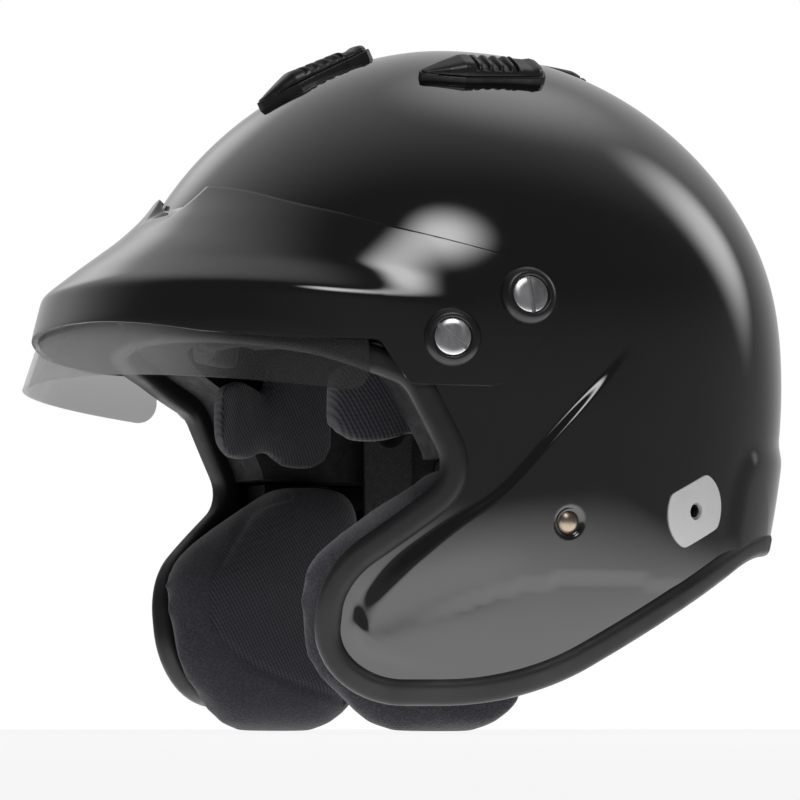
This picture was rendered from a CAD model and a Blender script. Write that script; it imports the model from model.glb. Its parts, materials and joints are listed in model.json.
import json
import math

import bmesh
import bpy
import numpy as np
from mathutils import Matrix, Vector


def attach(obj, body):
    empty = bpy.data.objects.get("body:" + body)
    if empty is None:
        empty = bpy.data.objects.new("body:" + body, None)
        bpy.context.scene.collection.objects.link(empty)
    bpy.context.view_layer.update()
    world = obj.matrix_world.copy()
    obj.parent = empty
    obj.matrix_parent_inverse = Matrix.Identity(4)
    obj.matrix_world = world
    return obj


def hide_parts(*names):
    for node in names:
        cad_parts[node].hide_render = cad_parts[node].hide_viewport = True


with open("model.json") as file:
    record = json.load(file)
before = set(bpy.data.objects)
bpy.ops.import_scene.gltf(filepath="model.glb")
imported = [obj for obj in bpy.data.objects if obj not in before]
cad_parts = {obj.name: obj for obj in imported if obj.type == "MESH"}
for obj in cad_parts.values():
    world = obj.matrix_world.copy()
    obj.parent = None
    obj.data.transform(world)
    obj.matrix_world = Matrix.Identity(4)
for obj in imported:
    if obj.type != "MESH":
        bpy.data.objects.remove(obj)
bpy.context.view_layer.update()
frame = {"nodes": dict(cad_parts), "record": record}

scene = bpy.context.scene
nodes = frame["nodes"]
crownY = 0.018168  # the crown axis lies this far behind the origin


def placed(name, data):
    made = bpy.data.objects.new(name, data)
    scene.collection.objects.link(made)
    return made


# Camera at the photograph's viewing angle
viewing = {
    "azimuth": 65,
    "elevation": -4,
    "distance": 1.9,
    "aim": (0, crownY, 0.135),
    "fieldWidth": 0.32,
    "offset": (-46 / 800, -5 / 800),
    "clip": (0.05, 50),
}


def direction(azimuth, elevation):
    a, e = math.radians(azimuth), math.radians(elevation)
    return Vector((math.sin(a) * math.cos(e), -math.cos(a) * math.cos(e), math.sin(e)))


def makeCamera(s):
    data = bpy.data.cameras.new("viewCamera")
    camera = placed("viewCamera", data)
    back = direction(s["azimuth"], s["elevation"])
    camera.location = Vector(s["aim"]) + back * s["distance"]
    camera.rotation_euler = (-back).to_track_quat("-Z", "Y").to_euler()
    data.lens = data.sensor_width * s["distance"] / s["fieldWidth"]
    data.shift_x, data.shift_y = s["offset"]
    data.clip_start, data.clip_end = s["clip"]
    scene.camera = camera


makeCamera(viewing)
print("camera placed")


class Wire:  # one socket's output, so that maths on it reads as Python
    def __init__(self, graph, socket):
        self.graph, self.socket = graph, socket

    def maths(self, operation, *values):
        return self.graph.add("ShaderNodeMath", {"operation": operation}, values)

    def __add__(self, other):
        return self.maths("ADD", self, other)

    def __radd__(self, other):
        return self.maths("ADD", other, self)

    def __sub__(self, other):
        return self.maths("SUBTRACT", self, other)

    def __rsub__(self, other):
        return self.maths("SUBTRACT", other, self)

    def __mul__(self, other):
        return self.maths("MULTIPLY", self, other)

    def __rmul__(self, other):
        return self.maths("MULTIPLY", other, self)

    def larger(self, other):
        return self.maths("MAXIMUM", self, other)

    def sine(self):
        return self.maths("SINE", self)

    def rise(self, low, high, fromValue=0.0, toValue=1.0):
        values = {"Value": self, "From Min": low, "From Max": high, "To Min": fromValue, "To Max": toValue}
        return self.graph.add("ShaderNodeMapRange", {"interpolation_type": "SMOOTHSTEP"}, values)


class Graph:  # the nodes of one material, lamp, world or form
    def __init__(self, tree):
        self.tree = tree

    def add(self, kind, settings=None, values=(), out=0):
        node = self.tree.nodes.new(kind)
        for key, value in (settings or {}).items():
            setattr(node, key, value)
        for key, value in values.items() if isinstance(values, dict) else enumerate(values):
            if isinstance(value, Wire):
                self.tree.links.new(value.socket, node.inputs[key])
            else:
                node.inputs[key].default_value = value
        return Wire(self, node.outputs[out])

    def vector(self, operation, *values, out="Value"):
        return self.add("ShaderNodeVectorMath", {"operation": operation}, values, out)

    def apart(self, vector):
        node = self.add("ShaderNodeSeparateXYZ", None, [vector]).socket.node
        return [Wire(self, socket) for socket in node.outputs]

    def leave(self, kind, wire):  # ends the graph in an output node
        self.tree.links.new(wire.socket, self.tree.nodes.new(kind).inputs[0])


class Finish(Graph):  # a principled material of this helmet
    def __init__(self, name, **constants):
        self.material = bpy.data.materials.new(name)
        self.material.use_nodes = True
        super().__init__(self.material.node_tree)
        self.shader = next(node for node in self.tree.nodes if node.type == "BSDF_PRINCIPLED")
        self.place = self.add("ShaderNodeTexCoord", out="Object")
        for key, value in constants.items():
            self.shader.inputs[key.replace("_", " ")].default_value = value

    def noise(self, scale, detail, vector=None):
        values = {"Vector": vector or self.place, "Scale": scale, "Detail": detail}
        return self.add("ShaderNodeTexNoise", None, values)

    def cells(self, scale, feature="F1"):
        return self.add("ShaderNodeTexVoronoi", {"feature": feature}, {"Vector": self.place, "Scale": scale})

    def stretched(self, scale, turn):
        return self.add("ShaderNodeMapping", None, {"Vector": self.place, "Scale": scale, "Rotation": turn})

    def feed(self, socketName, wire):
        self.tree.links.new(wire.socket, self.shader.inputs[socketName])

    def colour(self, factor, first, second):  # mixes two colours
        values = {0: factor, 6: first, 7: second}
        self.feed("Base Color", self.add("ShaderNodeMix", {"data_type": "RGBA"}, values, out=2))

    def roughness(self, noise, low, high):  # spreads the middle of a noise over a range
        self.feed("Roughness", noise.rise(0.3, 0.7, low, high))

    def bump(self, height, distance):
        values = {"Height": height, "Distance": distance, "Strength": 1.0}
        self.feed("Normal", self.add("ShaderNodeBump", None, values))

    def surfaced(self, s, tint, height):  # two colours mixed by a tint, a wandering roughness, and a relief
        self.colour(tint, s["dark"], s["light"])
        self.roughness(self.noise(*s["gloss"]), *s["roughness"])
        self.bump(height, s["depth"])
        return self.material


def grey(value, blue=1.0):
    return (value, value, value * blue, 1)


def plainFinish(name, s, **constants):  # colour, roughness and grain each wander with a noise of a scale and detail
    f = Finish(name, **constants)
    return f.surfaced(s, f.noise(*s["tint"]), f.noise(*s["grain"]))


lacquerLook = {
    "tint": (60, 3),
    "dark": grey(0.0035, 1.08),
    "light": grey(0.005, 1.08),
    "gloss": (35, 3),
    "roughness": (0.07, 0.1),
    "grain": (260, 1),
    "depth": 0.000004,
}
plasticLook = {
    "tint": (80, 3),
    "dark": grey(0.008),
    "light": grey(0.014),
    "gloss": (220, 3),
    "roughness": (0.26, 0.36),
    "grain": (2600, 2),
    "depth": 0.000012,
}
foilLook = {
    "tint": (90, 3),
    "dark": grey(0.74),
    "light": grey(0.8),
    "gloss": (400, 2),
    "roughness": (0.36, 0.46),
    "grain": (1500, 2),
    "depth": 0.00001,
}
rubberLook = {
    "tint": (24, 4),
    "worn": (0.42, 0.75),
    "dark": grey(0.017),
    "light": grey(0.03),
    "gloss": (90, 3),
    "roughness": (0.42, 0.54),
    "pores": (1900, 2),
    "waves": (300, 2),
    "poreShare": 0.7,
    "depth": 0.00005,
}


def edgeRubber(s):
    f = Finish("edgeRubber", Specular_IOR_Level=0.3)
    pitted = f.noise(*s["pores"]) * s["poreShare"] + f.noise(*s["waves"]) * (1 - s["poreShare"])
    return f.surfaced(s, f.noise(*s["tint"]).rise(*s["worn"]), pitted)


knitLook = {
    "wale": 0.0013,
    "course": 0.0016,
    "slant": (0.88, 0.47),
    "lean": 0.6,
    "wander": (30, 2),
    "wanderReach": 0.004,
    "fuzz": (1500, 3),
    "pile": 1100.0,
    "stagger": 1.2,
    "waleShare": 0.75,
    "shades": (0.15, 0.85),
    "dark": (0.016, 0.016, 0.021, 1),
    "light": (0.075, 0.075, 0.092, 1),
    "roughness": (0.82, 0.96),
    "depth": 0.00035,
}


def knitCloth(s):  # slanted ribs where "ribbed" is 1 and a plain pile where it is 0
    f = Finish("knitCloth", Sheen_Weight=0.35, Sheen_Roughness=0.6, Specular_IOR_Level=0.2)
    ribbed = f.add("ShaderNodeAttribute", {"attribute_name": "ribbed"}, out="Fac")
    x, y, z = f.apart(f.place)
    cosine, sine = s["slant"]
    across = (y * cosine + z * sine + f.noise(*s["wander"]) * s["wanderReach"]) * (2 * math.pi / s["wale"])
    along = (z * cosine - y * sine + x * s["lean"]) * (2 * math.pi / s["course"])
    wale = across.sine() * 0.5 + 0.5
    stitch = (along + wale * s["stagger"]).sine() * 0.5 + 0.5
    fuzz = f.noise(*s["fuzz"])
    plain = f.cells(s["pile"]) * 0.7 + fuzz * 0.4
    weave = (wale * s["waleShare"] + stitch * (1 - s["waleShare"])) * ribbed + plain * (1 - ribbed)
    f.colour((weave * 0.7 + fuzz * 0.3).rise(*s["shades"]), s["dark"], s["light"])
    f.roughness(fuzz, *s["roughness"])
    f.bump(weave * 0.8 + fuzz * 0.35, s["depth"])
    return f.material


smokedLook = {
    "sheen": (-0.105, -0.162),
    "dark": grey(0.05),
    "light": grey(0.8),
    "fade": (0.13, 0.15),
    "alpha": (0.46, 0.43),
    "gloss": (40, 2),
    "roughness": (0.03, 0.07),
}


def smokedSheet(s):
    f = Finish("smokedSheet", Specular_IOR_Level=0.7)
    y, z = f.apart(f.place)[1:]
    f.colour(y.rise(*s["sheen"]), s["dark"], s["light"])  # a light sheen towards the strip's front
    f.feed("Alpha", z.rise(*s["fade"], *s["alpha"]))
    f.roughness(f.noise(*s["gloss"]), *s["roughness"])
    return f.material


metalLook = {
    "stretch": (1, 1, 0.25),
    "slant": (0.6, 0.3, 0.2),
    "detail": 3,
    "dark": 0.88,
    "smoother": 0.06,
    "rougher": 0.08,
    "depth": 0.000002,
}


def turnedMetal(name, colour, roughness, ring, s=metalLook):  # fine turning marks, stretched along a slanted axis
    f = Finish(name, Metallic=1.0)
    streaks = f.noise(ring, s["detail"], f.stretched(s["stretch"], s["slant"]))
    f.colour(streaks, tuple(c * s["dark"] for c in colour) + (1,), colour + (1,))
    f.roughness(streaks, roughness - s["smoother"], roughness + s["rougher"])
    f.bump(streaks, s["depth"])
    return f.material


foamLook = {
    "beads": 420.0,
    "walls": (0.0, 0.2),
    "dark": grey(0.005),
    "light": grey(0.009),
    "gloss": (200, 2),
    "roughness": (0.75, 0.9),
    "hollows": (0.0, 0.25),
    "depth": 0.0001,
}


def beadFoam(s):
    f = Finish("beadFoam")
    cells = f.cells(s["beads"], "DISTANCE_TO_EDGE")
    return f.surfaced(s, cells.rise(*s["walls"]), cells.rise(*s["hollows"]))


webLook = {
    "warp": 0.0012,
    "weft": 0.0018,
    "dark": grey(0.004),
    "light": grey(0.014),
    "gloss": (500, 2),
    "roughness": (0.6, 0.8),
    "depth": 0.00025,
}


def wovenWeb(s):
    f = Finish("wovenWeb")
    x, y, z = f.apart(f.place)
    warp = (y * (2 * math.pi / s["warp"])).sine()
    weft = ((z + x) * (2 * math.pi / s["weft"])).sine()
    weave = (warp * weft) * 0.5 + 0.5
    return f.surfaced(s, weave, weave)


finishes = {
    "gloss_black": plainFinish("glossLacquer", lacquerLook,
                               Coat_Weight=1.0, Coat_Roughness=0.025, Specular_IOR_Level=0.4),
    "edge_rubber": edgeRubber(rubberLook),
    "knit": knitCloth(knitLook),
    "black_plastic": plainFinish("mouldedPlastic", plasticLook),
    "smoked": smokedSheet(smokedLook),
    "aluminium": turnedMetal("satinAluminium", (0.62, 0.62, 0.64), 0.28, 260),
    "bronze": turnedMetal("agedBronze", (0.33, 0.27, 0.21), 0.34, 500),
    "steel": turnedMetal("satinSteel", (0.42, 0.42, 0.43), 0.34, 700),
    "label": plainFinish("foilLabel", foilLook, Metallic=0.25),
    "foam": beadFoam(foamLook),
    "webbing": wovenWeb(webLook),
}
slotOfNode = {part["node"]: part["material_slot"] for part in frame["record"]["subparts"]}
bodyOfNode = {node: body for body, names in frame["record"]["behaviour"]["bodies"].items() for node in names}
print("finishes made:", len(finishes))


def meshObject(name, points, faces, edges=()):
    mesh = bpy.data.meshes.new(name)
    mesh.from_pydata([tuple(p) for p in points], list(edges), [tuple(f) for f in faces])
    mesh.validate()
    return placed(name, mesh)


def fromEdit(name, edit):
    mesh = bpy.data.meshes.new(name)
    edit.to_mesh(mesh)
    edit.free()
    return placed(name, mesh)


class Editing:  # a piece's mesh as a bmesh, written back when the block ends
    def __init__(self, piece):
        self.mesh, self.edit = piece.data, bmesh.new()
        self.edit.from_mesh(piece.data)

    def __enter__(self):
        return self.edit

    def __exit__(self, *problem):
        self.edit.to_mesh(self.mesh)
        self.edit.free()


def ringFaces(rings, size, closed=False):  # quads between rings of points
    quads = []
    for k in range(rings if closed else rings - 1):
        here, there = k * size, (k + 1) % rings * size
        quads += [(here + j, here + (j + 1) % size, there + (j + 1) % size, there + j) for j in range(size)]
    return quads


def perVertex(mesh, key):  # the places ("co") or normals of a mesh's vertices
    flat = np.zeros(len(mesh.vertices) * 3, np.float32)
    mesh.vertices.foreach_get(key, flat)
    return flat.reshape(-1, 3).astype(float)


def moved(piece, points):
    piece.data.vertices.foreach_set("co", points.astype(np.float32).ravel())
    piece.data.update()


def modify(piece, kind, **settings):
    modifier = piece.modifiers.new(kind.lower(), kind)
    for key, value in settings.items():
        setattr(modifier, key, value)
    return modifier


def settled(piece):  # applies a piece's modifiers and takes them off
    bpy.context.view_layer.update()
    done = bpy.data.meshes.new_from_object(piece.evaluated_get(bpy.context.evaluated_depsgraph_get()))
    piece.modifiers.clear()
    piece.data = done
    return piece


def smoothed(piece):
    for polygon in piece.data.polygons:
        polygon.use_smooth = True
    return piece


def finished(piece, body, slotName, *replaced):
    piece.data.materials.clear()
    piece.data.materials.append(finishes[slotName])
    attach(piece, body)
    if replaced:
        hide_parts(*replaced)
    return piece


def nodeCopy(nodeName, pieceName):  # a joined-up copy of a CAD node's mesh
    piece = placed(pieceName, nodes[nodeName].data.copy())
    with Editing(piece) as edit:
        bmesh.ops.remove_doubles(edit, verts=edit.verts, dist=0.000005)
    return piece


# Outer surface of the helmet, measured from the crown axis
helmetForm = {
    "halfWidth": 0.122,
    "front": 0.131,
    "back": 0.133,
    "girth": 0.138,
    "crownRise": 0.134,
    "skirtDepth": 0.262,
    "squareShare": 0.02,
    "blendShare": 0.35,
    "napeShare": 0.35,
    "lowest": -0.75,
}
sideSeats = {"rivet": (88.5, 0.0795), "anchor": (113.8, 0.085)}  # bearing in degrees, and height


def surface(elevation, bearing):
    s = helmetForm
    level, ring, square = np.sin(elevation), np.cos(elevation), s["squareShare"]
    upper = 0.5 + 0.5 * np.tanh(level / s["blendShare"])
    depth = s["skirtDepth"] + (s["crownRise"] - s["skirtDepth"]) * upper
    mean, egg = (s["front"] + s["back"]) / 2, (s["back"] - s["front"]) / 2
    x = s["halfWidth"] * ring * (np.sin(bearing) + square * np.sin(3 * bearing)) / (1 - square)
    y = -mean * ring * (np.cos(bearing) - square * np.cos(3 * bearing)) / (1 - square)
    y = y + egg * ring * np.cos(2 * bearing)
    tuck = (y > 0) & (elevation < 0)
    y = np.where(tuck, y * (1 - s["napeShare"] * level ** 2), y)
    return np.stack([x, y + crownY, s["girth"] + depth * level], -1)


def surfaceNormal(elevation, bearing):
    small = 1e-4
    roundWay = surface(elevation, bearing + small) - surface(elevation, bearing - small)
    upWay = surface(elevation + small, bearing) - surface(elevation - small, bearing)
    normal = np.cross(roundWay, upWay)
    return normal / np.linalg.norm(normal, axis=-1, keepdims=True)


elevationTable = np.linspace(helmetForm["lowest"], math.pi / 2, 4000)
heightTable = surface(elevationTable, np.zeros(len(elevationTable)))[:, 2]


def elevationAt(height):
    return np.interp(height, heightTable, elevationTable)


def onSurface(points):  # elevation and bearing of the form's point at the same height and azimuth
    elevation = elevationAt(points[..., 2])
    azimuth = np.arctan2(points[..., 0], crownY - points[..., 1])
    bearing = azimuth
    for turn in range(8):
        guess = surface(elevation, bearing)
        miss = azimuth - np.arctan2(guess[..., 0], crownY - guess[..., 1])
        bearing = bearing + (miss + math.pi) % (2 * math.pi) - math.pi
    return elevation, bearing


def seatAt(bearingDegrees, height, lift=0.0):  # place, outward and rearward directions on the shell
    elevation, bearing = elevationAt(np.array(height)), np.array(math.radians(bearingDegrees))
    outward = Vector(surfaceNormal(elevation, bearing))
    rear = Vector((0, 1, 0)) - outward * outward.y
    return Vector(surface(elevation, bearing)) + outward * lift, outward, rear.normalized()


def turnedSeat(bearingDegrees, height, lift=0.0, turn=0, sign=1):  # the same, turned, on either side
    place, outward, rear = seatAt(bearingDegrees, height, lift)
    along = Matrix.Rotation(math.radians(turn), 3, outward) @ rear
    return [Vector((v.x * sign, v.y, v.z)) for v in (place, outward, along)]


# The shell's edge in the side view, in shares of its front reach and girth height
edgeLine = {
    "corners": [(-1.26, 1.181), (-0.725, 1.051), (-0.504, 0.964), (-0.3565, 0.692), (-0.682, 0.4406),
                (-0.682, 0.100), (-0.146, 0.100), (0.672, 0.518), (1.145, 0.558)],
    "radii": [0.435, 0.10, 0.116, 0.217, 0.203, 0.87, 0.435],
    "outside": [(1.145, -0.45), (-1.75, -0.45), (-1.75, 1.181)],
}


def corner(before, at, after):  # unit directions from a corner to its neighbours, and the angle between them
    u, v = (before - at) / np.linalg.norm(before - at), (after - at) / np.linalg.norm(after - at)
    return u, v, math.acos(float(np.clip(u @ v, -1, 1)))


def straight(start, end, step):  # points after the start of a straight run
    return list(np.linspace(start, end, max(2, int(np.linalg.norm(end - start) / step)))[1:])


def roundedLine(corners, radii, step):
    points = [np.array(spot, float) for spot in corners]
    line, last = [points[0]], points[0]
    for before, at, after, radius in zip(points, points[1:], points[2:], radii):
        u, v, angle = corner(before, at, after)
        start, end = at + u * radius / math.tan(angle / 2), at + v * radius / math.tan(angle / 2)
        centre = at + (u + v) / np.linalg.norm(u + v) * radius / math.sin(angle / 2)
        sweep = math.pi - angle
        line += straight(last, start, step)
        for k in np.linspace(0, 1, max(3, int(radius * sweep / step)))[1:]:
            arc = math.sin((1 - k) * sweep) * (start - centre) + math.sin(k * sweep) * (end - centre)
            line.append(centre + arc / math.sin(sweep))
        last = end
    return np.array(line + straight(last, points[-1], step))


def sideCorners(shares):  # side-view corners, in metres
    return [(y * helmetForm["front"], z * helmetForm["girth"]) for y, z in shares]


def sideLine(s, step):
    return roundedLine(sideCorners(s["corners"]), [share * helmetForm["girth"] for share in s["radii"]], step)


def insideOutline(y, z, outline):  # which side-view points lie inside a closed outline
    inside = np.zeros(y.shape, bool)
    for (y0, z0), (y1, z1) in zip(outline, np.roll(outline, -1, axis=0)):
        if z0 != z1:
            crossing = ((z0 > z) != (z1 > z)) & (y < (y1 - y0) * (z - z0) / (z1 - z0) + y0)
            inside ^= crossing
    return inside


belowEdge = np.vstack([sideLine(edgeLine, 0.002), sideCorners(edgeLine["outside"])])

shellLook = {
    "columns": 336,
    "rows": 150,
    "skirt": {"heights": (0.004, 0.14), "rows": 56},
    "wall": 0.004,
    "refine": 0.010,
    "cuts": 3,
    "apex": 0.00005,
    "jaw": {
        "line": [(0.024, 0.150), (0.014, 0.139), (-0.009, 0.116), (-0.032, 0.090), (-0.050, 0.078), (-0.067, 0.063),
                 (-0.0765, 0.048), (-0.0795, 0.039), (-0.076, 0.031), (-0.065, 0.0275), (-0.050, 0.024),
                 (-0.028, 0.022)],
        "height": 0.0027,
        "step": (0.0036, 0.009),
        "widening": (0.42, 0.25),
        "fade": 0.05,
        "ends": (0.22, 0.2),
    },
    "nape": {
        "line": [(0.400, 0.111), (0.292, 0.111), (0.270, 0.107), (0.263, 0.098), (0.262, 0.084), (0.262, 0.060)],
        "height": 0.0019,
        "step": 0.010,
        "girth": 0.120,
    },
    "valley": {
        "line": [(-0.079, 0.041), (-0.050, 0.0528), (-0.0146, 0.061)],
        "depth": 0.0010,
        "width": 0.0075,
        "ends": (0.05, 0.5),
    },
    "boreRadius": 0.0068,
    "recess": {"depth": 0.0014, "radius": 0.0047, "slope": 0.0015},
}


def softLine(corners, step=0.001, take=0.45):  # each corner's rounding takes a share of its shorter side
    corners = [np.array(spot) for spot in corners]
    radii = []
    for before, at, after in zip(corners, corners[1:], corners[2:]):
        reach = min(np.linalg.norm(before - at), np.linalg.norm(after - at)) * take
        radii.append(reach * math.tan(corner(before, at, after)[2] / 2))
    return roundedLine(corners, radii, step)


def besideLine(y, z, line):  # signed distance to a line in a view, and the share of its length beside a point
    best, side, share = np.full(y.shape, 9.0), np.zeros(y.shape), np.zeros(y.shape)
    lengths = np.linalg.norm(np.diff(line, axis=0), axis=1)
    done, total = 0.0, lengths.sum()
    for start, end, length in zip(line, line[1:], lengths):
        way = (end - start) / length
        t = np.clip((y - start[0]) * way[0] + (z - start[1]) * way[1], 0, length)
        away = np.hypot(y - start[0] - way[0] * t, z - start[1] - way[1] * t)
        nearer = away < best
        cross = way[0] * (z - start[1]) - way[1] * (y - start[0])
        best = np.where(nearer, away, best)
        side = np.where(nearer, np.sign(cross), side)
        share = np.where(nearer, (done + t) / total, share)
        done += length
    return best * side, share


def smoothStep(value):
    value = np.clip(value, 0, 1)
    return value * value * (3 - 2 * value)


def ends(share, start, finish):  # fades a feature in and out along its line
    return smoothStep(share / start) * smoothStep((1 - share) / finish)


def halved(low, high, isBelow, turns):  # closes in from two sides on where a test changes
    for turn in range(turns):
        middle = (low + high) / 2
        below = isBelow(middle)
        low, high = np.where(below, middle, low), np.where(below, high, middle)
    return low


def shellRelief(points, bearing):  # how far the shell stands out from its plain form
    y, z = points[..., 1] - crownY, points[..., 2]
    jaw, nape, valley = shellLook["jaw"], shellLook["nape"], shellLook["valley"]
    away, share = besideLine(y, z, softLine(jaw["line"]))
    (narrow, wide), (start, length) = jaw["step"], jaw["widening"]
    width = narrow + (wide - narrow) * smoothStep((share - start) / length)
    relief = jaw["height"] * smoothStep(away / width + 0.5) * np.exp(-((np.maximum(away, 0) / jaw["fade"]) ** 2))
    relief = relief * ends(share, *jaw["ends"])
    away, share = besideLine(y, z, softLine(valley["line"]))
    relief = relief - valley["depth"] * np.exp(-((away / valley["width"]) ** 2)) * ends(share, *valley["ends"])
    away, share = besideLine(np.abs(bearing) * nape["girth"], z, softLine(nape["line"]))
    return relief + nape["height"] * smoothStep(away / nape["step"] + 0.5)


def seatDistances(points):  # how far each point is from the nearer rivet and the nearer anchor
    for seat in sideSeats.values():
        place = np.array(seatAt(*seat)[0])
        yield np.minimum(*[np.linalg.norm(points * (sign, 1, 1) - place, axis=-1) for sign in (1, -1)])


def shellGrid(s):  # the plain form above its edge line, closed at the crown
    rows, columns, skirt = s["rows"], s["columns"], s["skirt"]
    low, high = skirt["heights"]
    elevations = np.concatenate([elevationAt(np.linspace(low, high, skirt["rows"], endpoint=False)),
                                 np.linspace(elevationAt(high), math.pi / 2, rows - skirt["rows"], endpoint=False)])
    bearings = np.arange(columns) * 2 * math.pi / columns
    points = surface(*np.meshgrid(elevations, bearings, indexing="ij")).reshape(-1, 3)
    below = insideOutline(points[:, 1] - crownY, points[:, 2], belowEdge)
    faces = [face for face in ringFaces(rows, columns) if not below[list(face)].any()]
    apex, last = rows * columns, (rows - 1) * columns
    faces += [(last + k, last + (k + 1) % columns, apex) for k in range(columns)]
    top = surface(np.array(math.pi / 2), np.array(0.0))
    return meshObject("helmetShell", np.vstack([points, top[None]]), faces)


def makeShell(s):
    piece = shellGrid(s)
    with Editing(piece) as edit:
        bmesh.ops.delete(edit, geom=[v for v in edit.verts if not v.link_faces], context="VERTS")
        edit.verts.ensure_lookup_table()
        where = np.array([v.co for v in edit.verts])
        away = besideLine(where[:, 1] - crownY, where[:, 2], softLine(s["jaw"]["line"], step=0.004))[0]
        rivet, anchor = seatDistances(where)
        close = (np.abs(away) < s["refine"]) | (rivet < s["refine"]) | (anchor < s["refine"])
        fine = [edge for edge in edit.edges if close[edge.verts[0].index] and close[edge.verts[1].index]]
        bmesh.ops.subdivide_edges(edit, edges=fine, cuts=s["cuts"], use_grid_fill=True)
        edit.verts.ensure_lookup_table()
        rivet, anchor = seatDistances(np.array([v.co for v in edit.verts]))
        bmesh.ops.delete(edit, geom=[v for v in edit.verts if anchor[v.index] < s["boreRadius"]], context="VERTS")
    where = perVertex(piece.data, "co")
    elevation, bearing = onSurface(where)
    exact, normal = surface(elevation, bearing), surfaceNormal(elevation, bearing)
    apexMost = where[:, 2] > heightTable[-1] - s["apex"]  # the form has no bearing there
    exact[apexMost], normal[apexMost] = where[apexMost], (0, 0, 1)
    rivet, anchor = seatDistances(exact)
    recess = s["recess"]
    hollow = recess["depth"] * smoothStep(1 - (rivet - recess["radius"]) / recess["slope"])
    moved(piece, exact + normal * (shellRelief(exact, bearing) - hollow)[:, None])
    modify(piece, "SOLIDIFY", thickness=s["wall"], offset=-1)
    return finished(smoothed(settled(piece)), "helmet", "gloss_black", "outer_shell")


makeShell(shellLook)
print("shell made")


class Tree(Graph):  # a geometry node tree with named inputs
    def __init__(self, name, sizes):
        super().__init__(bpy.data.node_groups.new(name, "GeometryNodeTree"))
        face = self.tree.interface
        face.new_socket("Geometry", in_out="INPUT", socket_type="NodeSocketGeometry")
        for label, kind in sizes.items():
            face.new_socket(label, in_out="INPUT", socket_type="NodeSocket" + kind)
        face.new_socket("Geometry", in_out="OUTPUT", socket_type="NodeSocketGeometry")
        entry = self.tree.nodes.new("NodeGroupInput")
        self.given = {socket.name: Wire(self, socket) for socket in entry.outputs if socket.name}

    def close(self, geometry):
        whole = self.add("GeometryNodeRealizeInstances", None, {"Geometry": geometry})
        painted = self.add("GeometryNodeSetMaterial", None, {"Geometry": whole, "Material": self.given["Material"]})
        self.leave("NodeGroupOutput", painted)
        return self.tree

    def attribute(self, name):
        return self.add("GeometryNodeInputNamedAttribute", {"data_type": "FLOAT_VECTOR"}, {"Name": name})


def grown(piece, tree, values):  # runs a geometry node tree on a piece and keeps the plain mesh
    modifier = modify(piece, "NODES", node_group=tree)
    for item in tree.interface.items_tree:
        if item.in_out == "INPUT" and item.name in values:
            modifier[item.identifier] = values[item.name]
    return settled(piece)


def sweepTree():  # a rounded band along a path, its width square to the path's "facing" direction
    g = Tree("bandSweep", {"Through": "Float", "Across": "Float", "Rounding": "Float", "Material": "Material"})
    line = g.add("GeometryNodeMeshToCurve", None, {"Mesh": g.given["Geometry"]})
    turned = g.add("GeometryNodeSetCurveNormal", {"mode": "FREE"}, {"Curve": line, "Normal": g.attribute("facing")})
    outline = g.add("GeometryNodeCurvePrimitiveQuadrilateral", None,
                    {"Width": g.given["Through"], "Height": g.given["Across"]})
    soft = g.add("GeometryNodeFilletCurve", {"mode": "POLY"},
                 {"Curve": outline, "Count": 7, "Radius": g.given["Rounding"], "Limit Radius": True})
    band = g.add("GeometryNodeCurveToMesh", None, {"Curve": turned, "Profile Curve": soft, "Fill Caps": True})
    return g.close(g.add("GeometryNodeSetShadeSmooth", None, {"Geometry": band}))


def scatterTree():  # a template piece on every point, its Z along "facing" and its X along "along"
    g = Tree("seatScatter", {"Template": "Object", "Size": "Float", "Material": "Material"})
    form = g.add("GeometryNodeObjectInfo", {"transform_space": "ORIGINAL"}, {"Object": g.given["Template"]},
                 out="Geometry")
    stand = g.add("FunctionNodeAlignRotationToVector", {"axis": "Z"}, {"Vector": g.attribute("facing")})
    turn = g.add("FunctionNodeAlignRotationToVector", {"axis": "X", "pivot_axis": "Z"},
                 {"Rotation": stand, "Vector": g.attribute("along")})
    size = g.add("ShaderNodeCombineXYZ", None, [g.given["Size"]] * 3)
    copies = g.add("GeometryNodeInstanceOnPoints", None,
                   {"Points": g.given["Geometry"], "Instance": form, "Rotation": turn, "Scale": size})
    return g.close(copies)


bandSweep, seatScatter = sweepTree(), scatterTree()


def directed(piece, **directions):  # stores a direction at every point
    for name, vectors in directions.items():
        stored = piece.data.attributes.new(name, "FLOAT_VECTOR", "POINT")
        stored.data.foreach_set("vector", np.array(vectors, np.float32).ravel())
    return piece


def band(name, points, facing, slotName, through, across, rounding, loop=True):
    count = len(points)
    edges = [(k, k + 1) for k in range(count - 1)] + ([(count - 1, 0)] if loop else [])
    piece = directed(meshObject(name, points, [], edges), facing=facing)
    values = {"Through": through, "Across": across, "Rounding": rounding, "Material": finishes[slotName]}
    return grown(piece, bandSweep, values)


def scattered(name, template, seats, slotName):
    piece = meshObject(name, [seat[0] for seat in seats], [])
    directed(piece, facing=[seat[1] for seat in seats], along=[seat[2] for seat in seats])
    grown(piece, seatScatter, {"Template": template, "Size": 1.0, "Material": finishes[slotName]})
    bpy.data.objects.remove(template)
    return piece


# Edge rubber all round the shell's edge
trimLook = {
    "step": 0.003,
    "across": 0.0105,
    "through": 0.0094,
    "rounding": 0.0036,
    "shift": 0.0016,
    "wallMiddle": 0.002,
    "easing": 6,
    "trace": 0.00005,
}


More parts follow.
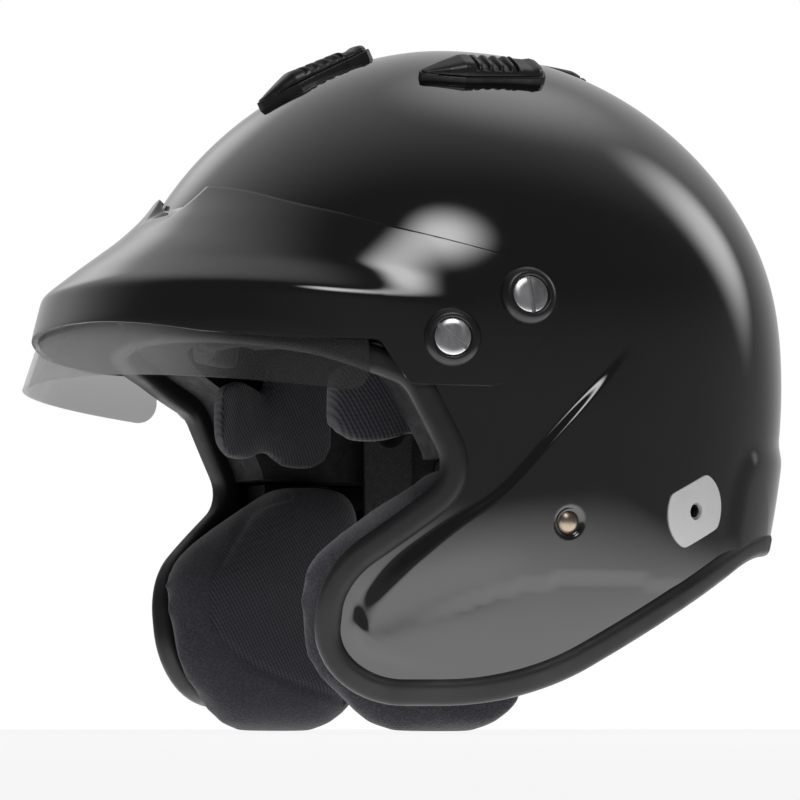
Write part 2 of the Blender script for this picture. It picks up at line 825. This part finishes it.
def edgePath(s):  # the edge down one side from front to back, as elevations and bearings
    line = sideLine(edgeLine, s["trace"])
    level = elevationAt(line[:, 1])

    def ahead(bearing):  # whether the form lies in front of the line there
        return surface(level, bearing)[:, 1] - crownY < line[:, 0]

    low, high = np.zeros(len(line)), np.full(len(line), math.pi)
    inside = ahead(low) & ~ahead(high)
    bearing = np.concatenate([[0.0], halved(low, high, ahead, turns=45)[inside], [math.pi]])
    level = level[inside]
    elevation = np.concatenate([level[:1], level, level[-1:]])
    run = np.concatenate([[0], np.cumsum(np.linalg.norm(np.diff(surface(elevation, bearing), axis=0), axis=1))])
    at = np.linspace(0, run[-1], int(run[-1] / s["step"]))
    return np.interp(at, run, elevation), np.interp(at, run, bearing)


def makeTrim(s):
    elevation, bearing = edgePath(s)
    elevation = np.concatenate([elevation, elevation[-2:0:-1]])
    bearing = np.concatenate([bearing, -bearing[-2:0:-1]])
    points, normals = surface(elevation, bearing), surfaceNormal(elevation, bearing)
    tangents = np.roll(points, -1, axis=0) - np.roll(points, 1, axis=0)
    tangents /= np.linalg.norm(tangents, axis=1, keepdims=True)
    outwards = np.cross(tangents, normals)
    if outwards[0][2] > 0:
        outwards = -outwards
    for turn in range(s["easing"]):
        outwards = (np.roll(outwards, 1, axis=0) + 2 * outwards + np.roll(outwards, -1, axis=0)) / 4
    places = points - outwards * s["shift"] - normals * s["wallMiddle"]
    piece = band("edgeTrim", places, normals, "edge_rubber", s["through"], s["across"], s["rounding"])
    return finished(smoothed(piece), "helmet", "edge_rubber", "face_trim", "base_trim")


makeTrim(trimLook)
print("edge rubber made")

# Peak: a brim flowing into two side plates, worked out as one skin over azimuth and height
peakLook = {
    "corners": [(-1.34, 1.87), (-0.763, 1.453), (-0.565, 1.384), (0.004, 1.24), (-0.256, 0.938), (-0.519, 0.941),
                (-0.607, 1.062), (-0.84, 1.064), (-1.06, 1.085), (-1.25, 1.134), (-1.756, 1.2)],
    "radii": [0.3, 0.2, 0.112, 0.07, 0.03, 0.02, 0.2, 0.2, 0.2],
    "levels": [(-0.02, 0.112, 0.165, 0.060, 2.3), (0, 0.112, 0.165, 0.060, 2.3), (0.0155, 0.112, 0.1625, 0.060, 2.3),
               (0.026, 0.1065, 0.1522, 0.052, 2.18), (0.046, 0.099, 0.130, 0.045, 2.12),
               (0.060, 0.091, 0.1121, 0.045, 2.12), (0.085, 0.075, 0.080, 0.045, 2.12)],
    "heights": (-0.02, 0.085, 800),
    "softening": 0.0015,
    "softReach": 90,
    "outlineStep": 0.0015,
    "reach": 0.165,
    "edgeHeight": 0.157,
    "tilt": 6.0,
    "lift": 0.0032,
    "leastSlope": 0.4,
    "blend": 0.010,
    "lowest": -0.0045,
    "plateFront": -0.0768,
    "radiusRange": (0.02, 0.32),
    "heightRange": (0.120, 0.262),
    "azimuthRange": (60, 110),
    "samples": 500,
    "inset": 0.9996,
    "wall": 0.0026,
    "bevel": 0.0006,
    "bevelAngle": 50,
    "joining": 0.0002,
    "columns": 320,
    "rows": 60,
    "scoop": {
        "front": (-0.160, 0.1814, 0.0006, 0.0009),
        "rear": (-0.109, 0.2082, 0.031, 0.009),
        "floor": 0.6,
        "side": 4,
        "soft": 0.0022,
    },
}


def easing(first, second, width):  # how far a soft joint of two surfaces stands off their sharp one
    gap = np.maximum(width - np.abs(first - second), 0)
    return gap * gap / (4 * width)


def peakSkin(s):  # gives a function that finds the peak's point at an azimuth and height, and whether it is in use
    heights, levels = np.linspace(*s["heights"]), np.array(s["levels"])
    spread = np.arange(-s["softReach"], s["softReach"] + 1) * (heights[1] - heights[0]) / s["softening"]
    bell = np.exp(-(spread ** 2) / 2)
    sharp = [np.interp(heights, levels[:, 0], column) for column in levels.T[1:]]
    padded = [np.pad(values, s["softReach"], "reflect", reflect_type="odd") for values in sharp]
    widths, reaches, roots, powers = [np.convolve(values, bell / bell.sum(), "valid") for values in padded]
    outline, tilt = sideLine(s, s["outlineStep"]), math.radians(s["tilt"])

    def brim(x, y, z):
        forward, up = y - crownY + s["reach"], z - s["edgeHeight"]
        height = forward * math.sin(tilt) + up * math.cos(tilt)
        back = forward * math.cos(tilt) - up * math.sin(tilt)
        root, power = np.interp(height, heights, roots), np.interp(height, heights, powers)
        along = np.maximum(s["reach"] - root - back, 0) / (np.interp(height, heights, reaches) - root)
        across = np.abs(x) / np.interp(height, heights, widths)
        return across ** power + along ** power, height

    def skin(azimuth, z):
        sine, cosine = np.sin(azimuth), np.cos(azimuth)
        low, high = (np.full(z.shape, radius) for radius in s["radiusRange"])
        edge = halved(low, high, lambda radius: brim(radius * sine, crownY - radius * cosine, z)[0] < 1, turns=26)
        elevation, bearing = onSurface(np.stack([sine + 0 * z, crownY - cosine + 0 * z, z], -1))
        under, normal = surface(elevation, bearing), surfaceNormal(elevation, bearing)
        level = np.hypot(under[..., 0], under[..., 1] - crownY)
        plate = level + s["lift"] / np.maximum(np.hypot(normal[..., 0], normal[..., 1]), s["leastSlope"])
        reach = np.maximum(edge, plate) + easing(edge, plate, s["blend"])
        points = np.stack([reach * sine, crownY - reach * cosine, z], -1)
        height, y = brim(points[..., 0], points[..., 1], z)[1], points[..., 1] - crownY
        return points, insideOutline(y, z, outline) & ((height > s["lowest"]) | (y > s["plateFront"]))

    return skin


def peakGrid(s, skin):  # the peak's points in columns of one azimuth, each from its lower to its upper limit
    count, columns = s["samples"], s["columns"]
    samples = np.linspace(*s["heightRange"], count)
    first, last = (math.radians(angle) for angle in s["azimuthRange"])
    widest = halved(first, last, lambda azimuth: skin(np.full(count, azimuth), samples)[1].any(), turns=16)
    azimuth = widest * s["inset"] * np.sin(np.linspace(-1, 1, columns) * math.pi / 2)
    inside = skin(np.repeat(azimuth[:, None], count, 1), np.repeat(samples[None], columns, 0))[1]
    limits = []
    for found, step in ((inside.argmax(1), -1), (count - 1 - inside[:, ::-1].argmax(1), 1)):
        outer = samples[np.clip(found + step, 0, count - 1)]
        limits.append(halved(samples[found], outer, lambda z: skin(azimuth, z)[1], turns=14)[:, None])
    share = np.linspace(0, 1, s["rows"])[None]
    z = limits[0] * (1 - share) + limits[1] * share
    return skin(np.repeat(azimuth[:, None], s["rows"], 1), z)[0]


def scooped(points, s):  # hollows the top, wider and deeper towards the rear
    front, rear = s["front"], s["rear"]
    along = (points[..., 1] - crownY - front[0]) / (rear[0] - front[0])
    floor, half, deep = (front[k] + (rear[k] - front[k]) * along for k in (1, 2, 3))
    aside, half = np.abs(points[..., 0]), np.maximum(half, 0.0001)
    slope = smoothStep((aside / half - s["floor"]) / (1 - s["floor"]))
    limit = floor + deep * slope + s["side"] * np.maximum(aside - half, 0)
    lowered = np.minimum(points[..., 2], limit) - easing(points[..., 2], limit, s["soft"])
    return np.stack([points[..., 0], points[..., 1], lowered], -1)


def makePeak(s):
    points = scooped(peakGrid(s, peakSkin(s)), s["scoop"])
    number = np.arange(s["columns"] * s["rows"]).reshape(s["columns"], s["rows"])
    quads = np.stack([number[:-1, :-1], number[1:, :-1], number[1:, 1:], number[:-1, 1:]], -1).reshape(-1, 4)
    piece = meshObject("ventedPeak", points.reshape(-1, 3), quads.tolist())
    with Editing(piece) as edit:
        bmesh.ops.remove_doubles(edit, verts=edit.verts, dist=s["joining"])
        front = max(edit.faces, key=lambda face: face.calc_area())
        if front.normal.dot(front.calc_center_median() - Vector((0, crownY, 0.1))) < 0:
            bmesh.ops.reverse_faces(edit, faces=edit.faces)
    modify(piece, "SOLIDIFY", thickness=s["wall"], offset=-1)
    sharp = math.radians(s["bevelAngle"])
    modify(piece, "BEVEL", width=s["bevel"], segments=2, limit_method="ANGLE", angle_limit=sharp)
    return finished(smoothed(settled(piece)), "helmet", "gloss_black", "peak")


makePeak(peakLook)
print("peak made")


def sharpened(piece, angle=30):  # smooth shading but for edges sharper than an angle
    smoothed(piece)
    with Editing(piece) as edit:
        for edge in edit.edges:
            edge.smooth = len(edge.link_faces) == 2 and edge.calc_face_angle(0) < math.radians(angle)
    return piece


def plainCopy(nodeName, pieceName):  # a CAD node's own mesh, sharpened
    piece = sharpened(nodeCopy(nodeName, pieceName), 40)
    return finished(piece, bodyOfNode[nodeName], slotOfNode[nodeName], nodeName)


plainCopy("sun_strip", "smokedStrip")
for nodeName in ("tether_anchors", "strap_hangers", "strap_spacers", "rivet_washers", "strap_snap",
                 "peak_inserts", "d_ring_outer", "d_ring_inner"):
    plainCopy(nodeName, "fine_" + nodeName)
for nodeName in ("eps_liner", "cheek_core_left", "cheek_core_right", "cheek_pad_snaps"):
    nodes[nodeName].data.materials.clear()
    nodes[nodeName].data.materials.append(finishes[slotOfNode[nodeName]])
print("strip and fittings finished")

# Blank labels over the tether anchors: thin discs with two flats that lie on the shell
labelLook = {
    "radius": 0.015,
    "halfHeight": 0.0112,
    "hole": 0.0034,
    "turn": 22,
    "sharpness": 30,
    "lift": 0.0006,
    "sink": 0.0004,
    "rings": 12,
    "around": 96,
}


def makeLabels(s):
    place, outward, along = turnedSeat(*sideSeats["anchor"], turn=s["turn"])
    across = outward.cross(along)
    angles = np.linspace(0, 2 * math.pi, s["around"], endpoint=False)
    flats = s["halfHeight"] / np.maximum(np.abs(np.sin(angles)), 0.001)
    rim = (s["radius"] ** -s["sharpness"] + flats ** -s["sharpness"]) ** (-1 / s["sharpness"])
    shares = np.concatenate([[0], np.linspace(0, 1, s["rings"]), [1]])[:, None]
    radii = s["hole"] + (rim - s["hole"]) * shares
    spokes = np.cos(angles)[:, None] * np.array(along) + np.sin(angles)[:, None] * np.array(across)
    elevation, bearing = onSurface(np.array(place) + radii[..., None] * spokes)
    base, normal = surface(elevation, bearing), surfaceNormal(elevation, bearing)
    height = shellRelief(base, bearing) + s["lift"]
    height[[0, -1]] -= s["lift"] + s["sink"]  # the first and last rings lie under the label's edges
    points = (base + normal * height[..., None]).reshape(-1, 3)
    faces = ringFaces(len(shares), s["around"], closed=True)
    both = np.concatenate([points, points * (-1, 1, 1)])
    piece = meshObject("anchorLabels", both, faces + [tuple(len(points) + j for j in face) for face in faces])
    with Editing(piece) as edit:
        bmesh.ops.recalc_face_normals(edit, faces=edit.faces)
    finished(sharpened(piece, 40), "helmet", slotOfNode["anchor_labels"], "anchor_labels")


makeLabels(labelLook)
print("labels made")

# Vents: a pointed base on the shell under a ridged thumb slider
ventLook = {
    "length": 0.050,
    "width": 0.015,
    "margin": 0.0010,
    "baseLift": 0.0020,
    "baseSink": 0.0036,
    "gap": 0.0002,
    "bodyHeight": 0.0046,
    "edgeDrop": 0.0007,
    "leastWall": 0.0003,
    "noseDrop": 1.6,
    "travel": 0.006,
    "lip": 0.0006,
    "shoulders": {"base": (14, 0.5), "slider": (4, 0.55)},
    "plan": [(0, 0), (0.008, 0.16), (0.03, 0.26), (0.08, 0.38), (0.2, 0.7), (0.32, 0.93), (0.45, 1), (0.86, 1),
             (0.94, 0.94), (0.98, 0.78), (0.995, 0.5), (1, 0)],
    "profile": [(0, 0.08), (0.05, 0.2), (0.32, 1.0), (0.36, 1.02), (0.42, 0.96), (0.77, 0.76), (0.80, 0.54),
                (0.89, 0.46), (0.94, 0.58), (0.975, 0.5), (1, 0.2)],
    "ridges": {
        "start": 0.40,
        "end": 0.765,
        "count": 4,
        "depth": 0.0016,
        "wave": [(0, 0), (0.22, 0.06), (0.34, 1), (0.62, 1), (0.74, 0.06), (0.98, 0)],
        "fade": 0.25,
    },
    "seats": {
        "front": (0, 0.2586, 1),
        "left": (80.2, 0.2565, 1),
        "rear": (180, 0.2585, 1),
        "right": (80.2, 0.2565, -1),
    },
    "stations": 210,
    "endStations": [0.002, 0.005, 0.012, 0.99, 0.995, 0.998],
    "around": 26,
    "joining": 0.00002,
    "sharp": 42,
}


def baseLevels(s, x, drop, shoulder):  # bottoms, and tops that clear the slider all along its travel
    swept = s["noseDrop"] * np.minimum(x - s["travel"], 0) ** 2 - drop
    lip = smoothStep((x + s["length"] / 2 - s["travel"] + s["lip"]) / s["lip"])  # ahead of the furthest nose
    tops = s["baseLift"] - drop - np.maximum(swept - s["gap"] / 2, 0) * lip
    return np.full(len(x), -s["baseSink"]), tops[:, None] - s["edgeDrop"] * (1 - shoulder)


def sliderLevels(s, share, drop, across, shoulder):  # bottoms, and tops with their ridges
    bottoms = s["baseLift"] + s["gap"] - drop
    ridges = s["ridges"]
    phase = (share - ridges["start"]) / (ridges["end"] - ridges["start"]) * ridges["count"]
    valleys = ridges["depth"] * (1 - np.interp(phase % 1, *zip(*ridges["wave"])))
    cuts = np.where((phase > 0) & (phase < ridges["count"]), valleys, 0)
    rise = s["bodyHeight"] * np.interp(share, *zip(*s["profile"]))
    tops = bottoms[:, None] + rise[:, None] * shoulder
    tops = tops - cuts[:, None] * smoothStep((1 - np.abs(across)) / ridges["fade"])
    return bottoms, np.maximum(tops, bottoms[:, None] + s["leastWall"] * (np.abs(across) < 0.99))


def ventForm(name, kind, seat, sign, s, margin):
    place, outward, rear = seat
    sideways = outward.cross(rear)
    share = np.sort(np.concatenate([np.linspace(0, 1, s["stations"]), s["endStations"]]))
    x = (share - 0.5) * (s["length"] + 2 * margin)
    half = np.interp(share, *zip(*s["plan"])) * (s["width"] / 2 + margin)
    across = np.sin(np.linspace(-1, 1, s["around"]) * math.pi / 2)
    flatness, power = s["shoulders"][kind]
    shoulder = (1 - np.abs(across) ** flatness) ** power
    drop = s["noseDrop"] * np.minimum(x, 0) ** 2
    if kind == "base":
        bottoms, tops = baseLevels(s, x, drop, shoulder)
    else:
        bottoms, tops = sliderLevels(s, share, drop, across, shoulder)
    rings = []
    for px, bottom, top, y in zip(x, bottoms, tops, across * half[:, None]):
        rings.append([(px, py, pz) for py, pz in zip(y, top)] + [(px, py, bottom) for py in y[::-1][2:-2:3]])
    size, last = len(rings[0]), (len(rings) - 1) * len(rings[0])
    points = [tuple(Vector((sign, 1, 1)) * (place + rear * px + sideways * py + outward * pz))
              for ring in rings for px, py, pz in ring]
    faces = ringFaces(len(rings), size) + [tuple(range(size)), tuple(range(last, last + size))]
    piece = meshObject(name, points, faces)
    with Editing(piece) as edit:
        bmesh.ops.remove_doubles(edit, verts=edit.verts, dist=s["joining"])
        bmesh.ops.recalc_face_normals(edit, faces=edit.faces)
    return sharpened(piece, s["sharp"])


def makeVents(s):
    for side, (bearing, height, sign) in s["seats"].items():
        for kind, body, margin in (("base", "helmet", s["margin"]), ("slider", "slider_" + side, 0.0)):
            name = "vent" + kind.title() + side.title()
            piece = ventForm(name, kind, seatAt(bearing, height), sign, s, margin)
            finished(piece, body, "black_plastic", "vent_" + kind + "_" + side)


makeVents(ventLook)
print("vents made")

# Turned fasteners, spun from a profile and set on their seats
fastenerLook = {
    "screwSeats": [(68.9, 0.1475, -40), (81.2, 0.1637, -84)],
    "plateLift": 0.0032,
    "slot": (0.03, 0.0017, 0.0022),
    "screwProfile": [(0, 0.0029), (0.0042, 0.0029), (0.0063, 0.0027), (0.0069, 0.0023), (0.007, 0.0018),
                     (0.007, 0.0005)],
    "ringProfile": [(0.0071, 0.0002), (0.0071, 0.0019), (0.00735, 0.0025), (0.0079, 0.0028), (0.0087, 0.0027),
                    (0.0097, 0.0021), (0.0106, 0.0012), (0.011, 0.0004), (0.0111, -0.0018)],
    "rivetProfile": [(0, 0.0026), (0.0012, 0.0025), (0.0024, 0.0021), (0.0035, 0.0014), (0.0043, 0.0006),
                     (0.0047, -0.0002), (0.0047, -0.0008)],
}


def spun(name, profile, segments=48):
    edit = bmesh.new()
    angles = [2 * math.pi * k / segments for k in range(segments)]
    rings = []
    for radius, height in profile:
        spots = [(radius * math.cos(a), radius * math.sin(a), height) for a in angles] if radius else [(0, 0, height)]
        rings.append([edit.verts.new(spot) for spot in spots])
    for inner, outer in zip(rings, rings[1:]):
        for k in range(segments):
            after = (k + 1) % segments
            fourth = [inner[after]] if len(inner) > 1 else []
            edit.faces.new([inner[k % len(inner)], outer[k], outer[after]] + fourth)
    return fromEdit(name, edit)


def slotted(template, size, top):  # cuts a screwdriver slot across a turned head, half of its size below the top
    edit = bmesh.new()
    bmesh.ops.create_cube(edit, size=1)
    for v in edit.verts:
        v.co = Vector(a * b for a, b in zip(v.co, size)) + Vector((0, 0, top))
    cutter = fromEdit("slotCutter", edit)
    modify(template, "BOOLEAN", operation="DIFFERENCE", object=cutter, solver="EXACT")
    settled(template)
    bpy.data.objects.remove(cutter)
    return template


def closedBelow(template):  # closes a turned form with a flat underside
    with Editing(template) as edit:
        bmesh.ops.holes_fill(edit, edges=[edge for edge in edit.edges if edge.is_boundary], sides=0)
        bmesh.ops.recalc_face_normals(edit, faces=edit.faces)
    return template


def makeFasteners(s):
    seats = [turnedSeat(bearing, height, s["plateLift"], turn, sign)
             for sign in (1, -1) for bearing, height, turn in s["screwSeats"]]
    head = slotted(closedBelow(spun("headForm", s["screwProfile"])), s["slot"], s["screwProfile"][0][1])
    piece = scattered("slottedScrews", head, seats, "aluminium")
    finished(sharpened(piece), "helmet", "aluminium", "peak_screws")
    piece = scattered("screwRings", spun("ringForm", s["ringProfile"]), seats, "black_plastic")
    finished(sharpened(piece, 60), "helmet", "black_plastic", "peak_rings")
    seats = [turnedSeat(*sideSeats["rivet"], sign=sign) for sign in (1, -1)]
    piece = scattered("domeRivets", closedBelow(spun("rivetForm", s["rivetProfile"], 40)), seats, "bronze")
    finished(sharpened(piece, 50), "helmet", "bronze", "strap_rivets")


makeFasteners(fastenerLook)
print("fasteners made")

# Chin strap: flat webbing from the hangers, tucked up inside
strapLook = {
    "middleY": 0.02777,
    "barX": 0.1053,
    "barZ": 0.0568,
    "barDrop": 0.0035,
    "turnZ": 0.046,
    "innerX": 0.078,
    "tops": {"left": 0.100, "right": 0.136},
    "bends": [0.0035, 0.007],
    "step": 0.0015,
    "width": 0.022,
    "wall": 0.0018,
    "rounding": 0.0007,
    "barLoop": (0.0026, 0.0036),
    "loopRadius": 0.004,
    "loopSteps": 28,
}


def makeStrap(side, sign, s):
    (barX, barZ), (innerX, topZ), turnZ = (s["barX"], s["barZ"]), (s["innerX"], s["tops"][side]), s["turnZ"]
    corners = [(barX, barZ - s["barDrop"]), (barX, turnZ), (innerX, turnZ), (innerX, topZ)]
    line = roundedLine(corners, s["bends"], s["step"])
    facing = [(t[1] * sign, 0, -t[0]) for t in np.gradient(line, axis=0)]
    points = [(x * sign, s["middleY"], z) for x, z in line]
    sizes = (s["wall"], s["width"], s["rounding"])
    piece = band("webbing" + side.title(), points, facing, "webbing", *sizes, loop=False)
    finished(sharpened(piece, 50), "helmet", "webbing", "strap_" + side)
    loops = [("barLoop", barX, barZ, *s["barLoop"])]
    if side == "left":  # round the outer D-ring
        loops.append(("ringLoop", innerX - s["loopRadius"], topZ, s["loopRadius"], s["loopRadius"]))
    angles = np.linspace(0, 2 * math.pi, s["loopSteps"], endpoint=False)
    facing = [(sign * math.cos(a), 0, math.sin(a)) for a in angles]
    for name, x, z, halfX, halfZ in loops:
        around = [((x + halfX * math.cos(a)) * sign, s["middleY"], z + halfZ * math.sin(a)) for a in angles]
        piece = band(name + side.title(), around, facing, "webbing", *sizes)
        finished(sharpened(piece, 50), "helmet", "webbing")


makeStrap("left", 1, strapLook)
makeStrap("right", -1, strapLook)
print("chin strap made")

# Padding: soft forms blown up a little from a slightly smaller start, then seamed
padLook = {
    "frames": 20,
    "quality": 4,
    "pressure": 4.0,
    "start": 0.0012,
    "shellSide": (0.2, 0.5),
    "relaxing": (0.5, 9),
    "pads": {
        "cheek_pad_left": {"name": "cheekPad", "voxel": 0.004, "cap": 0.0035, "fill": 0.7, "fine": 2},
        "temple_pad_left": {"name": "templePad", "voxel": 0.003, "cap": 0.003, "fill": 0.7, "fine": 1},
        "brow_pad": {"name": "browPad", "voxel": 0.0035, "cap": 0.0025, "fill": 0.6, "fine": 1},
        "crown_pad": {"name": "crownPad", "voxel": 0.005, "cap": 0.002, "fill": 0.5, "fine": 1},
        "neck_roll": {"name": "neckRoll", "voxel": 0.005, "cap": 0.003, "fill": 0.6, "fine": 1},
    },
    "seam": [(-0.038, 0.097), (-0.053, 0.093), (-0.063, 0.081), (-0.071, 0.070), (-0.077, 0.063), (-0.078, 0.055),
             (-0.077, 0.043), (-0.071, 0.035), (-0.061, 0.028), (-0.046, 0.022), (-0.031, 0.017), (-0.015, 0.013)],
    "seamBack": [(0.02, 0.013), (0.02, 0.12), (-0.03, 0.12)],
    "seamDepth": 0.0013,
    "seamWidth": 0.0016,
    "faceSide": (-0.1, 0.3),
}


def puffed(piece, s, cap):  # cloth pressure, each point's way out held to a cap, and to nothing on the shell's side
    before, normals = perVertex(piece.data, "co"), perVertex(piece.data, "normal")
    start, width = s["shellSide"]
    outer = smoothStep((normals[:, 0] * np.sign(before[:, 0]) - start) / width)
    smaller = before - normals * s["start"]
    moved(piece, smaller)
    cloth = modify(piece, "CLOTH")
    cloth.settings.quality = s["quality"]
    cloth.settings.use_pressure = True
    cloth.settings.uniform_pressure_force = s["pressure"]
    cloth.settings.effector_weights.gravity = 0
    cloth.point_cache.frame_start, cloth.point_cache.frame_end = 1, s["frames"]
    for number in range(1, s["frames"] + 1):
        scene.frame_set(number)
    after = perVertex(piece.evaluated_get(bpy.context.evaluated_depsgraph_get()).data, "co")
    piece.modifiers.clear()
    scene.frame_set(1)
    move = after - smaller
    length = np.linalg.norm(move, axis=1, keepdims=True)
    move *= np.minimum(1, (cap * (1 - outer))[:, None] / np.maximum(length, 1e-9))
    moved(piece, smaller + move)


def seamed(piece, s, cheek):  # sews the seam in and marks where the knit is ribbed
    points, normals = perVertex(piece.data, "co"), perVertex(piece.data, "normal")
    ribbed = np.ones(len(points))
    if cheek:
        y, z = points[:, 1] - crownY, points[:, 2]
        away, share = besideLine(y, z, softLine(s["seam"]))
        start, width = s["faceSide"]
        inner = smoothStep((-normals[:, 0] * np.sign(points[:, 0]) - start) / width)
        ribbed = insideOutline(y, z, np.array(s["seam"] + s["seamBack"])) * smoothStep(inner * 2)
        groove = np.exp(-((away / s["seamWidth"]) ** 2)) * inner * (share > 0.001) * (share < 0.999)
        moved(piece, points - normals * (s["seamDepth"] * groove)[:, None])
    stored = piece.data.attributes.new("ribbed", "FLOAT", "POINT")
    stored.data.foreach_set("value", ribbed.astype(np.float32))
    piece.data.update()


def mirrored(piece, name):
    other = placed(name, piece.data.copy())
    with Editing(other) as edit:
        bmesh.ops.scale(edit, vec=(-1, 1, 1), verts=edit.verts)
        bmesh.ops.reverse_faces(edit, faces=edit.faces)
    return smoothed(other)


def makePads(s):
    factor, passes = s["relaxing"]
    for nodeName, pad in s["pads"].items():
        piece = nodeCopy(nodeName, pad["name"])
        modify(piece, "REMESH", mode="VOXEL", voxel_size=pad["voxel"])
        settled(piece)
        puffed(piece, s, pad["cap"])
        modify(piece, "SMOOTH", factor=factor, iterations=passes)
        modify(piece, "SUBSURF", levels=pad["fine"], render_levels=pad["fine"])
        settled(piece)
        seamed(piece, s, nodeName.startswith("cheek"))
        smoothed(piece)
        if nodeName.endswith("_left"):
            other = mirrored(piece, pad["name"] + "Right")
            finished(other, "helmet", "knit", nodeName.replace("left", "right"))
            piece.name = pad["name"] + "Left"
        finished(piece, "helmet", "knit", nodeName)
        print("pad made:", piece.name, len(piece.data.polygons))


makePads(padLook)

# Dim room with a pale backdrop behind the helmet, and soft lamps
roomLook = {
    "diffuse": 0.3,
    "gloss": 0.1,
    "horizon": 0.22,
    "horizonFade": (0.4, 0.0),
    "backdrop": (-108, 48),
    "backdropEdge": (0.35, 0.95),
    "backdropGloss": 0.48,
    "pool": (0.68, 0.17),
    "poolStrength": 2.2,
    "bounce": 0.17,
    "floorSeen": 0.88,
    "floorGrey": 0.8,
    "floorSize": 6.0,
    "lampEdge": (0.5, 0.06),
    "lamps": {
        "sideSoftbox": {"azimuth": 80, "elevation": 41, "distance": 1.5, "size": (0.86, 0.86), "radiance": 7.0},
        "rearSoftbox": {"azimuth": 178, "elevation": 30, "distance": 1.6, "size": (0.8, 1.6), "radiance": 2.6},
        "topSoftbox": {"azimuth": -148, "elevation": 66, "distance": 1.6, "size": (1.4, 1.4), "radiance": 0.7},
        "farSoftbox": {"azimuth": -88, "elevation": 27, "distance": 1.6, "size": (0.8, 0.8), "radiance": 0.4},
    },
}


def softbox(name, s, edge):  # an oval lamp that fades towards its edge
    data = bpy.data.lights.new(name, "AREA")
    data.shape = "ELLIPSE"
    data.size, data.size_y = s["size"]
    data.energy = s["radiance"] * math.pi * math.pi * s["size"][0] * s["size"][1] / 4
    data.use_nodes = True
    g = Graph(data.node_tree)
    emission = next(node for node in g.tree.nodes if node.type == "EMISSION")
    offset = g.vector("SUBTRACT", g.add("ShaderNodeNewGeometry", out="Parametric"), (0.5, 0.5, 0), out="Vector")
    g.tree.links.new(g.vector("LENGTH", offset).rise(*edge).socket, emission.inputs["Strength"])
    lamp = placed(name, data)
    away = direction(s["azimuth"], s["elevation"])
    lamp.location = Vector(viewing["aim"]) + away * s["distance"]
    lamp.rotation_euler = away.to_track_quat("Z", "Y").to_euler()
    lamp.visible_camera = False


def pathRays(g):  # what the camera sees, straight or through the strip, and what gloss and metal see
    path = g.tree.nodes.new("ShaderNodeLightPath")
    seen = Wire(g, path.outputs["Is Camera Ray"]).larger(Wire(g, path.outputs["Is Transmission Ray"]))
    return seen, Wire(g, path.outputs["Is Glossy Ray"])


def makeWorld(s):
    world = scene.world or bpy.data.worlds.new("room")
    scene.world = world
    world.use_nodes = True
    g = Graph(world.node_tree)
    g.tree.nodes.clear()
    seen, glossy = pathRays(g)
    way = g.add("ShaderNodeTexCoord", out="Generated")
    backdrop = g.vector("DOT_PRODUCT", way, tuple(direction(*s["backdrop"]))).rise(*s["backdropEdge"])
    glow = g.apart(way)[2].rise(*s["horizonFade"]) * (s["horizon"] - s["gloss"])
    inGloss = glossy * (backdrop * (s["backdropGloss"] - s["gloss"]) + s["gloss"] + glow)
    strength = seen + (1 - seen) * (inGloss + (1 - glossy) * s["diffuse"])
    light = g.add("ShaderNodeBackground", None, {"Color": grey(1.0), "Strength": strength})
    g.leave("ShaderNodeOutputWorld", light)


def makeFloor(s):
    half = s["floorSize"] / 2
    corners = [(-half, -half, 0), (half, -half, 0), (half, half, 0), (-half, half, 0)]
    floor = meshObject("floor", corners, [(0, 1, 2, 3)])
    material = bpy.data.materials.new("paleFloor")
    material.use_nodes = True
    g = Graph(material.node_tree)
    g.tree.nodes.clear()
    seen, glossy = pathRays(g)
    pool = g.vector("LENGTH", g.add("ShaderNodeTexCoord", out="Object")).rise(*s["pool"])
    shine = s["horizon"] + pool * (s["poolStrength"] - s["horizon"])  # the lamps' pool of light round the helmet
    matte = g.add("ShaderNodeBsdfDiffuse", None, {"Color": grey(s["floorGrey"])})
    white = g.add("ShaderNodeEmission", None, {"Color": grey(1.0), "Strength": seen + (1 - seen) * shine})
    share = (seen * s["floorSeen"]).larger(glossy).larger(pool * s["bounce"])
    g.leave("ShaderNodeOutputMaterial", g.add("ShaderNodeMixShader", None, [share, matte, white]))
    floor.data.materials.append(material)


makeWorld(roomLook)
makeFloor(roomLook)
for name, lamp in roomLook["lamps"].items():
    softbox(name, lamp, roomLook["lampEdge"])
scene.view_settings.view_transform = "Standard"
print("room lit")
